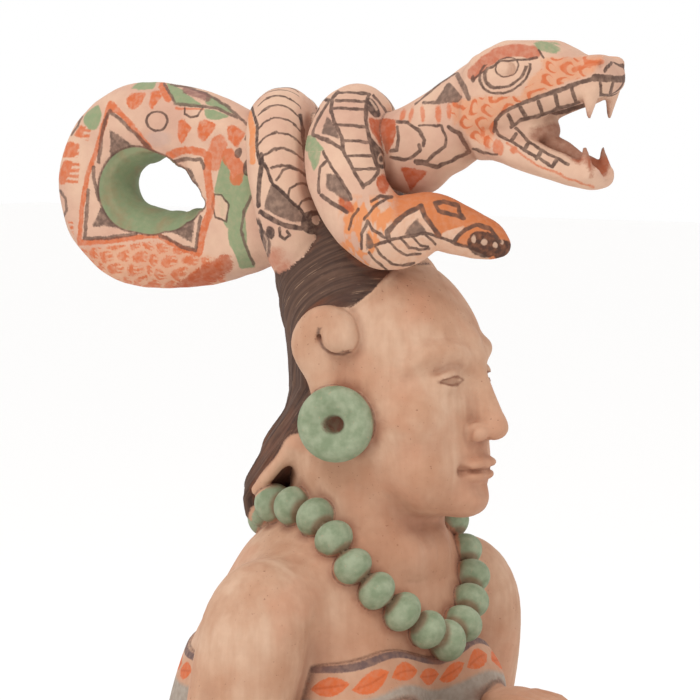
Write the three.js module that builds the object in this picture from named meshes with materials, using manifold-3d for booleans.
// Seated goddess of painted, fired clay, with a knotted snake tied round her hair.
// Millimetres, +Z up, she faces -Y, and the origin is the middle of the underside of her low base.
// The whole figure was modelled and fired as one piece, so it is one closed solid.
import * as THREE from "three";
import { LoftGeometry } from "three/addons/geometries/LoftGeometry.js";
import { mergeVertices } from "three/addons/utils/BufferGeometryUtils.js";
import Module from "manifold-3d";

const wasm = await Module();
wasm.setup();

// Base: a low oval slab with a rounded rim.
const BASE = { halfWidth: 78, halfDepth: 96, height: 10, centreY: -14, rim: 3.5 };

// Body. Each ring of the trunk is [height, half width, half depth, centre Y].
const TRUNK = [
  [5, 60, 50, 24],
  [40, 64, 54, 24],
  [75, 57, 53, 24],
  [105, 54, 52, 20],
  [128, 52, 50, 14],
  [145, 50, 44, 9],
  [158, 47, 38, 6],
  [168, 41, 34, 4],
  [176, 32, 29, 2],
  [184, 27.5, 27, -1],
  [206, 26, 26, -5],
];
const BREAST = { x: 23, y: -20, z: 112, radius: [23, 21, 23] };
// The wrapped dress stands a little off the skin, and its upper edge rises over each breast.
// The cloth spans this share of the trunk's rings.
const DRESS = { thickness: 1.4, top: 129, rise: 5, swell: 14, span: [0.16, 0.48], reach: 100 };

// Limbs. Each station is [x, y, z, radius], and x is mirrored for the left limb.
const ARM = [
  [44, 0, 149, 17],
  [57, -2, 147, 18.5],
  [63, -1, 130, 19],
  [65, 4, 102, 17.5],
  [65, 10, 78, 16],
  [59, -2, 71, 14],
  [42, -28, 90, 11.5],
  [27, -46, 107, 8.5],
];
const LEG = [
  [28, 18, 42, 32],
  [30, -16, 64, 27],
  [23, -42, 88, 21],
  [19, -56, 95, 19],
  [20, -65, 83, 18],
  [22, -70, 58, 17],
  [22, -73, 34, 16.5],
];
// The skirt covers the legs down to the hem, so only the ankles are bare.
const ANKLE = [
  [22, -73, 38, 11],
  [22, -75, 14, 10],
];
const LAP = { depth: 26, height: 62, back: 3 };
const FOOT = { x: 22, y: -86, z: 13, radius: [13, 22, 8] };
const HAND = { x: 21, y: -54, z: 113, radius: [10.5, 12, 5.2], finger: 3.4, fingerLength: 20, fingers: 4, spacing: 5.4 };

// Necklace: half of its string, [x, y, z] from the front to the nape, and its touching beads.
const STRING = [
  [0, -41, 136],
  [9.5, -39.5, 140.5],
  [17, -36.5, 146],
  [25, -31.5, 153.5],
  [30.5, -24, 162],
  [33, -17, 172],
  [31.5, -6, 180],
  [29.5, 9, 183.5],
  [24, 23, 182],
  [12, 34, 176],
  [0, 37.5, 174],
];
const BEAD = { count: 22, alongRadius: 5.9, acrossRadius: 7.3 };

// Head. Its own frame turns to her left: side is towards her right ear, forward is where she looks.
const HEAD_TURN = THREE.MathUtils.degToRad(12);
const HEAD_Y = -5;
// Rings of the skull and face: [height, half width, front, back].
const SKULL = [
  [179.5, 10, 36, 18],
  [184, 17, 41.5, 6],
  [192, 23, 43.5, -4],
  [203, 27, 44, -12],
  [216, 29.5, 43, -20],
  [228, 30.5, 42, -24],
  [238, 30.5, 41.5, -25],
  [248, 30, 39, -27],
  [258, 27.5, 33, -27],
  [266, 23, 25, -25],
  [272, 15, 13, -19],
];
const FACE = { brow: 237, eye: 229, noseBase: 207, mouth: 197, chin: 184, eyeSide: 13 };
// Hair, from inside the knot down to the flared ends at the nape: [forward, height, half depth, half width].
const HAIR = [
  [-12, 300, 20, 18],
  [-9, 275, 26, 24],
  [-5, 256, 27, 29],
  [-4, 237, 23.5, 30],
  [-10.5, 217, 15.5, 28.5],
  [-26, 201, 9, 25.5],
  [-37.5, 188, 6, 22.5],
  [-40, 177, 4.8, 18],
];
// Ear scroll: [side, forward, height, radius] from the lobe up over the back to the curled ball.
const EAR = [
  [31, 0, 221, 5],
  [31, -3.5, 231, 6.2],
  [31.5, -7.8, 241, 7.4],
  [32, -3.5, 248.5, 7],
  [32.5, 3.5, 248.5, 6.4],
  [33.5, 6, 244.5, 6],
];
const EAR_DISC = { side: 35, forward: 4.5, height: 214, radius: 13.6, hole: 3, halfThick: 4.6, turn: 20 };

// Snake, in the frame of the head. The body is a rolled strip of clay of nearly even radius.
const SNAKE = 14.4;
const LOOP = { forward: -91, height: 295.8, radius: 23.5 };
// Stations [side, forward, height, radius] before and after the round part of the loop.
const NECK_STRAND = [
  [0, 56, 331, 15],
  [0, 47, 327.5, 15],
  [0, 38, 322.5, 14.6],
  [1, 26, 314.5, 15],
  [3, 11.8, 309.8, 13.6],
  [2, -7.4, 309.6, 13],
  [0, -28.9, 309.3, 13],
  [0, -49.6, 308.4, 14.2],
  [0, -70.6, 316.2, 14.4],
];
const RETURN_STRAND = [
  [0, -70.7, 273.7, 14.6],
  [0, -53.8, 277.7, 14.4],
  [0, -39.2, 282, 13.5],
  [0, -20.7, 286, 11],
];
// Where the two strands are pressed together behind the knot: [forward, height] and half axes.
const PRESSED = { forward: -54.5, height: 292, radii: [12, 12.5, 26] };
// The strand wound round the knot, as an oval that leans forward at the sides and tilts forward below.
const WRAP = { forward: -30, lean: 7, tilt: 5.5, height: 294.5, halfSide: 22, halfHeight: 25.5, radius: 12 };
const TAIL_STRAND = [
  [-10, -8, 276, 10],
  [-22, -10, 287, 12.5],
  [-18, -9, 306, 13],
  [0, -5.2, 319.9, 13.4],
  [18, -1, 310, 14],
  [26, 5.4, 296, 13.5],
  [26, 15, 283.8, 13.2],
  [22, 21.8, 281.2, 12.8],
  [17, 32.4, 285.2, 10.4],
  [13, 41, 282.4, 9],
  [9, 49.6, 279.1, 7.3],
  [7, 54.5, 276.9, 4.4],
];
// Jaws: rings [forward, top, underside, half width].
const UPPER_JAW = [
  [46, 341.5, 312, 14.5],
  [54, 347, 315, 16.8],
  [62, 349.2, 318.5, 17.5],
  [70, 349, 321, 16.5],
  [78, 346.3, 323.2, 14.5],
  [84, 343.6, 325.2, 13],
  [91, 343.4, 328, 11.5],
  [95, 341, 330.5, 9.3],
  [97.3, 337, 332.5, 5.5],
];
const LOWER_JAW = [
  [46, 320, 307.5, 12.5],
  [56, 318, 305.2, 15.5],
  [63, 316.5, 302.8, 15],
  [70, 314.5, 300.7, 14],
  [80, 310.5, 297.8, 12.5],
  [87, 307.6, 296.6, 10.5],
  [91.5, 305.6, 297.5, 8],
  [93.5, 304, 299.8, 4.5],
];
const JAW_SQUARENESS = 2.8;
const SNAKE_EYE = { side: 14.4, forward: 61, height: 338.6, radii: [4, 5.6, 4.4] };
const FANG = { upper: [9, 90.5, 329.5], lower: [8, 88.5, 303.5], length: 8.5, radius: 2.3 };

const TURN = Math.PI * 2;
const TRUNK_SIDES = 18;
const HAIR_SIDES = 12;
const STRAND_SIDES = 10;
const STRAND_RINGS = 24;
const WRAP_SIDES = 9;
const WRAP_RINGS = 12;
const TAIL_SIDES = 9;
const TAIL_RINGS = 10;
// The wrap's ends stop just short of each other, so that the strand doesn't meet itself point to point.
const ALMOST_WHOLE = 0.995;
// How far beyond its last station a limb's rounded end has its one extra ring, as a share of the radius.
const END_RING = 0.75;
const TRUNK_SQUARENESS = 2.1;
const HEAD_SQUARENESS = 2.15;
const HAIR_SQUARENESS = 2.2;
const { lerp } = THREE.MathUtils;

// Solids and joins

function solid(geometry) {
  const bare = new THREE.BufferGeometry().setIndex(geometry.index);
  bare.setAttribute("position", geometry.getAttribute("position"));
  const merged = mergeVertices(bare, 1e-3);
  const index = merged.index.array;
  const kept = [];
  for (let i = 0; i < index.length; i += 3) {
    const [a, b, c] = index.slice(i, i + 3);
    if (a !== b && b !== c && c !== a) kept.push(a, b, c);
  }
  const triVerts = new Uint32Array(kept);
  const vertProperties = new Float32Array(merged.attributes.position.array);
  const made = new wasm.Manifold(new wasm.Mesh({ numProp: 3, vertProperties, triVerts }));
  if (made.volume() > 0) return made;
  for (let i = 0; i < triVerts.length; i += 3) {
    [triVerts[i + 1], triVerts[i + 2]] = [triVerts[i + 2], triVerts[i + 1]];
  }
  return new wasm.Manifold(new wasm.Mesh({ numProp: 3, vertProperties, triVerts }));
}

const join = (solids) => solids.reduce((whole, next) => whole.add(next));

// Points of one ring: a superellipse on two half axes round a centre.
function ring(centre, across, up, sides, squareness = 2) {
  const bend = (value) => Math.sign(value) * Math.abs(value) ** (2 / squareness);
  return Array.from({ length: sides }, (_, i) => {
    const angle = (i / sides) * TURN;
    return centre
      .clone()
      .addScaledVector(across, bend(Math.cos(angle)))
      .addScaledVector(up, bend(Math.sin(angle)));
  });
}

const middleOf = (points) =>
  points.reduce((sum, point) => sum.add(point), new THREE.Vector3()).divideScalar(points.length);

// A closed skin through rings, which narrows to a tip at each end: a given point, or the middle of the last ring.
function skin(rings, first = middleOf(rings[0]), last = middleOf(rings.at(-1))) {
  const tip = (point) => rings[0].map(() => point);
  return solid(new LoftGeometry([tip(first), ...rings, tip(last)]));
}

// Rows of numbers blended smoothly, at parameter 0 to 1 along the list.
function blend(rows, at) {
  const place = Math.min(at, 1) * (rows.length - 1);
  const i = Math.min(Math.floor(place), rows.length - 2);
  const t = place - i;
  const row = (k) => rows[THREE.MathUtils.clamp(k, 0, rows.length - 1)];
  return rows[0].map((_, n) => {
    const [a, b, c, d] = [row(i - 1)[n], row(i)[n], row(i + 1)[n], row(i + 2)[n]];
    const slope = (c - a) / 2;
    const nextSlope = (d - b) / 2;
    return (
      (2 * t ** 3 - 3 * t ** 2 + 1) * b +
      (t ** 3 - 2 * t ** 2 + t) * slope +
      (3 * t ** 2 - 2 * t ** 3) * c +
      (t ** 3 - t ** 2) * nextSlope
    );
  });
}

const steps = (count) => Array.from({ length: count + 1 }, (_, i) => i / count);

// A round limb or strand with rounded ends through stations [point, radius].
function limb(stations, sides, count) {
  const rows = stations.map(([point, radius]) => [...point.toArray(), radius]);
  const path = new THREE.CatmullRomCurve3(steps(count).map((t) => new THREE.Vector3(...blend(rows, t))));
  const frames = path.computeFrenetFrames(count, false);
  const radiusAt = (i) => blend(rows, path.getUtoTmapping(i / count))[3];
  const beyond = (i, offset) => path.getPointAt(i / count).addScaledVector(frames.tangents[i], offset * radiusAt(i));
  const place = (i, offset = 0) => {
    const radius = radiusAt(i) * Math.sqrt(1 - offset ** 2);
    const across = frames.normals[i].clone().multiplyScalar(radius);
    return ring(beyond(i, offset), across, frames.binormals[i].clone().multiplyScalar(radius), sides);
  };
  const body = steps(count).map((_, i) => place(i));
  return skin([place(0, -END_RING), ...body, place(count, END_RING)], beyond(0, -1), beyond(count, 1));
}

// An egg shape with its three half axes as vectors.
function egg(centre, [a, b, c], sides = 8, bands = 4) {
  const rings = Array.from({ length: bands - 1 }, (_, i) => {
    const angle = ((i + 1) / bands - 0.5) * Math.PI;
    const middle = centre.clone().addScaledVector(c, Math.sin(angle));
    const scale = Math.cos(angle);
    return ring(middle, a.clone().multiplyScalar(scale), b.clone().multiplyScalar(scale), sides);
  });
  return skin(rings, centre.clone().sub(c), centre.clone().add(c));
}

const axes = ([x, y, z]) => [new THREE.Vector3(x, 0, 0), new THREE.Vector3(0, y, 0), new THREE.Vector3(0, 0, z)];

const headFrame = new THREE.Matrix4().makeRotationZ(HEAD_TURN).setPosition(0, HEAD_Y, 0);
const inHead = (side, forward, up) => new THREE.Vector3(-side, -forward, up).applyMatrix4(headFrame);
const alongHead = (side, forward, up) => new THREE.Vector3(-side, -forward, up).transformDirection(headFrame);
const headAxes = ([side, forward, up]) => [
  alongHead(1, 0, 0).multiplyScalar(side),
  alongHead(0, 1, 0).multiplyScalar(forward),
  alongHead(0, 0, 1).multiplyScalar(up),
];
const headStations = (rows) => rows.map(([side, forward, up, radius]) => [inHead(side, forward, up), radius]);

// Body and dress

function base() {
  const outline = new THREE.Shape().absellipse(
    0, 0, BASE.halfWidth - BASE.rim, BASE.halfDepth - BASE.rim, 0, TURN, false, 0,
  );
  const slab = new THREE.ExtrudeGeometry(outline, {
    depth: BASE.height - 2 * BASE.rim,
    bevelSize: BASE.rim,
    bevelThickness: BASE.rim,
    bevelSegments: 1,
    curveSegments: 10,
    steps: 1,
  });
  return solid(slab.translate(0, BASE.centreY, BASE.rim));
}

function trunkRing([height, halfWidth, halfDepth, centreY], sides, grow = 0) {
  return ring(
    new THREE.Vector3(0, centreY, height),
    new THREE.Vector3(halfWidth + grow, 0, 0),
    new THREE.Vector3(0, halfDepth + grow, 0),
    sides,
    TRUNK_SQUARENESS,
  );
}

const trunk = () => skin(steps(9).map((t) => trunkRing(blend(TRUNK, t), TRUNK_SIDES)));

// The cloth is the trunk a little larger, with the breasts, cut off at the upper edge of the dress.
function dress() {
  const cloth = skin(steps(4).map((t) => trunkRing(blend(TRUNK, lerp(...DRESS.span, t)), TRUNK_SIDES, DRESS.thickness)));
  const cups = [-1, 1].map((side) =>
    egg(new THREE.Vector3(side * BREAST.x, BREAST.y, BREAST.z), axes(BREAST.radius), 10, 4),
  );
  const { reach } = DRESS;
  const edge = steps(14).map((t) => {
    const x = lerp(-reach, reach, t);
    const swell = Math.exp(-(((Math.abs(x) - BREAST.x) / DRESS.swell) ** 2));
    return new THREE.Vector2(x, DRESS.top + DRESS.rise * swell);
  });
  const outline = new THREE.Shape([...edge, new THREE.Vector2(reach, 0), new THREE.Vector2(-reach, 0)]);
  const mask = new THREE.ExtrudeGeometry(outline, { depth: 2 * reach, bevelEnabled: false, steps: 1 });
  mask.rotateX(Math.PI / 2).translate(0, reach, 0);
  return join([cloth, ...cups]).intersect(solid(mask));
}

const mirrored = (rows, side) => rows.map(([x, y, z, radius]) => [new THREE.Vector3(side * x, y, z), radius]);

const arm = (side) => limb(mirrored(ARM, side), 9, 9);

const leg = (side) => join([limb(mirrored(LEG, side), 10, 7), limb(mirrored(ANKLE, side), 7, 1)]);

// The skirt hangs between the shins.
function lap() {
  const [x, y, z] = LEG.at(-2);
  return solid(new THREE.BoxGeometry(2 * x, LAP.depth, LAP.height).translate(0, y + LAP.back, z));
}

const foot = (side) => egg(new THREE.Vector3(side * FOOT.x, FOOT.y, FOOT.z), axes(FOOT.radius), 10, 4);

// Each hand lies on its knee, with the fingers bent down over the front of it.
function hand(side) {
  const { x, y, z, radius, finger, fingerLength, fingers, spacing } = HAND;
  const parts = [egg(new THREE.Vector3(side * x, y, z), axes(radius))];
  for (let i = 0; i < fingers; i++) {
    const across = side * (x + (i - (fingers - 1) / 2) * spacing);
    const reach = fingerLength * (i === fingers - 1 ? 0.8 : 1);
    parts.push(
      limb(
        [
          [new THREE.Vector3(across, y - 5, z + 1), finger],
          [new THREE.Vector3(across, y - 5 - reach * 0.55, z - 1.5), finger],
          [new THREE.Vector3(across, y - 5 - reach * 0.85, z - 8.5), finger * 0.9],
        ],
        5,
        2,
      ),
    );
  }
  parts.push(
    limb(
      [
        [new THREE.Vector3(side * (x - 6), y + 3, z), finger * 1.1],
        [new THREE.Vector3(side * (x - 11.5), y - 6, z - 1), finger],
        [new THREE.Vector3(side * (x - 12.5), y - 13, z - 4), finger * 0.9],
      ],
      5,
      2,
    ),
  );
  return join(parts);
}

function necklace() {
  const half = STRING.map(([x, y, z]) => new THREE.Vector3(x, y, z));
  const other = half.slice(1, -1).reverse().map((point) => point.clone().setX(-point.x));
  const string = new THREE.CatmullRomCurve3([...half, ...other], true);
  return Array.from({ length: BEAD.count }, (_, i) => {
    const centre = string.getPointAt(i / BEAD.count);
    const along = string.getTangentAt(i / BEAD.count);
    const across = new THREE.Vector3(0, 0, 1).cross(along).normalize();
    const up = along.clone().cross(across);
    return egg(
      centre,
      [across.multiplyScalar(BEAD.acrossRadius), up.multiplyScalar(BEAD.acrossRadius), along.multiplyScalar(BEAD.alongRadius)],
      6,
      4,
    );
  });
}

// Head, hair and ears

function headRing([height, halfWidth, front, back], sides) {
  return ring(
    inHead(0, (front + back) / 2, height),
    alongHead(1, 0, 0).multiplyScalar(halfWidth),
    alongHead(0, 1, 0).multiplyScalar((front - back) / 2),
    sides,
    HEAD_SQUARENESS,
  );
}

const skull = () => skin(steps(9).map((t) => headRing(blend(SKULL, t), 16)));

function hair() {
  const count = 9;
  const rings = steps(count).map((t) => {
    const [forward, up, halfDepth, halfWidth] = blend(HAIR, t);
    const [nextForward, nextUp] = blend(HAIR, t + 0.02);
    const [lastForward, lastUp] = blend(HAIR, Math.max(t - 0.02, 0));
    const run = alongHead(0, nextForward - lastForward, nextUp - lastUp);
    const across = alongHead(1, 0, 0);
    const out = run.clone().cross(across).multiplyScalar(halfDepth);
    return ring(inHead(0, forward, up), across.multiplyScalar(halfWidth), out, HAIR_SIDES, HAIR_SQUARENESS);
  });
  return skin(rings);
}

function face() {
  const { brow, eye, noseBase, mouth, chin, eyeSide } = FACE;
  const at = (side, forward, up, radii, sides = 7, bands = 4) =>
    egg(inHead(side, forward, up), headAxes(radii), sides, bands);
  const nose = limb(
    headStations([
      [0, 40.5, brow + 1, 3.6],
      [0, 44.5, eye - 4, 4.2],
      [0, 49, noseBase + 6.5, 5],
    ]),
    7,
    3,
  );
  const parts = [
    nose,
    at(0, 49, noseBase + 4.6, [5, 5.6, 4.4]),
    at(0, 43, mouth + 2.4, [10, 5, 2.9]),
    at(0, 42.5, mouth - 2.9, [8.6, 5, 3.2]),
    at(0, 38.5, chin + 2, [10, 7, 6.5]),
  ];
  for (const side of [-1, 1]) {
    parts.push(at(side * 5.8, 44, noseBase + 3.4, [3.6, 5, 3.6]));
    parts.push(at(side * eyeSide, 35.6, eye, [6.4, 4.4, 3.6]));
    parts.push(at(side * 12.5, 35.4, brow - 0.5, [10, 4.6, 3.2], 6, 4));
  }
  return join(parts);
}

function ear(side) {
  const rows = EAR.map(([out, forward, up, radius]) => [side * out, forward, up, radius]);
  return limb(headStations(rows), 7, 6);
}

// The ear disc: a thick turned ring with a dished face and a small hole.
function earDisc(side) {
  const { radius, hole, halfThick, forward, height, turn } = EAR_DISC;
  const round = steps(3).map((t) => {
    const angle = lerp(-Math.PI / 2, Math.PI / 2, t);
    return new THREE.Vector2(radius - halfThick + halfThick * Math.cos(angle), halfThick * Math.sin(angle));
  });
  const profile = [
    new THREE.Vector2(0, -halfThick),
    ...round,
    new THREE.Vector2(hole + 2, halfThick - 2),
    new THREE.Vector2(hole, halfThick - 3),
    new THREE.Vector2(hole * 0.8, -1),
    new THREE.Vector2(0, -1),
  ];
  const geometry = new THREE.LatheGeometry(profile, 14);
  const outward = alongHead(side * Math.cos(THREE.MathUtils.degToRad(turn)), Math.sin(THREE.MathUtils.degToRad(turn)), 0);
  const aim = new THREE.Quaternion().setFromUnitVectors(new THREE.Vector3(0, 1, 0), outward);
  geometry.applyQuaternion(aim);
  const centre = inHead(side * EAR_DISC.side, forward, height);
  return solid(geometry.translate(centre.x, centre.y, centre.z));
}

// Snake

function loopStations() {
  const turns = [60, 90, 120, 150, 180, 210, 240, 270, 300].slice(1, -1);
  return turns.map((degrees) => {
    const angle = THREE.MathUtils.degToRad(degrees);
    const forward = LOOP.forward + LOOP.radius * Math.cos(angle);
    return [0, forward, LOOP.height + LOOP.radius * Math.sin(angle), SNAKE];
  });
}

const longStrand = () => limb(headStations([...NECK_STRAND, ...loopStations(), ...RETURN_STRAND]), STRAND_SIDES, STRAND_RINGS);

function wrapStrand() {
  const { forward, lean, tilt, height, halfSide, halfHeight, radius } = WRAP;
  const stations = steps(20).map((t) => {
    const angle = t * TURN * ALMOST_WHOLE;
    const out = Math.sin(angle);
    const up = Math.cos(angle);
    return [halfSide * out, forward + lean * out - tilt * up, height + halfHeight * up, radius];
  });
  return limb(headStations(stations), WRAP_SIDES, WRAP_RINGS);
}

const tailStrand = () => limb(headStations(TAIL_STRAND), TAIL_SIDES, TAIL_RINGS);

function jaw(rows) {
  const rings = steps(8).map((t) => {
    const [forward, top, under, halfWidth] = blend(rows, t);
    return ring(
      inHead(0, forward, (top + under) / 2),
      alongHead(1, 0, 0).multiplyScalar(halfWidth),
      alongHead(0, 0, 1).multiplyScalar((top - under) / 2),
      10,
      JAW_SQUARENESS,
    );
  });
  return skin(rings);
}

function tooth(side, forward, up, length, radius) {
  const geometry = new THREE.ConeGeometry(radius, Math.abs(length), 6);
  if (length > 0) geometry.rotateX(Math.PI / 2);
  else geometry.rotateX(-Math.PI / 2);
  const root = inHead(side, forward, up + length / 2);
  return solid(geometry.translate(root.x, root.y, root.z));
}

const fangs = (side) => [
  tooth(side * FANG.upper[0], FANG.upper[1], FANG.upper[2], -FANG.length, FANG.radius),
  tooth(side * FANG.lower[0], FANG.lower[1], FANG.lower[2], FANG.length, FANG.radius),
];

function snakeHead() {
  const parts = [jaw(UPPER_JAW), jaw(LOWER_JAW), egg(inHead(0, 60, 316), headAxes([11, 14, 7]))];
  for (const side of [-1, 1]) {
    const { side: out, forward, height, radii } = SNAKE_EYE;
    parts.push(egg(inHead(side * out, forward, height), headAxes(radii)));
    parts.push(...fangs(side));
  }
  return join(parts);
}

// The whole figure, with the underside cut flat

const figure = join([
  base(),
  trunk(),
  dress(),
  lap(),
  ...[-1, 1].flatMap((side) => [arm(side), leg(side), foot(side), hand(side), ear(side), earDisc(side)]),
  ...necklace(),
  skull(),
  hair(),
  face(),
  longStrand(),
  egg(inHead(0, PRESSED.forward, PRESSED.height), headAxes(PRESSED.radii)),
  wrapStrand(),
  tailStrand(),
  snakeHead(),
]);

const CLAY = new THREE.MeshStandardMaterial({ color: 0xd3a888, roughness: 0.85, metalness: 0 });

function meshOf(made, name, material) {
  const { vertProperties, triVerts } = made.getMesh();
  const geometry = new THREE.BufferGeometry()
    .setAttribute("position", new THREE.BufferAttribute(vertProperties, 3))
    .setIndex(new THREE.BufferAttribute(triVerts, 1));
  geometry.computeVertexNormals();
  const mesh = new THREE.Mesh(geometry, material);
  mesh.name = name;
  return mesh;
}

const goddess = new THREE.Group();
goddess.add(meshOf(figure, "goddess_figure", CLAY));

export default goddess;
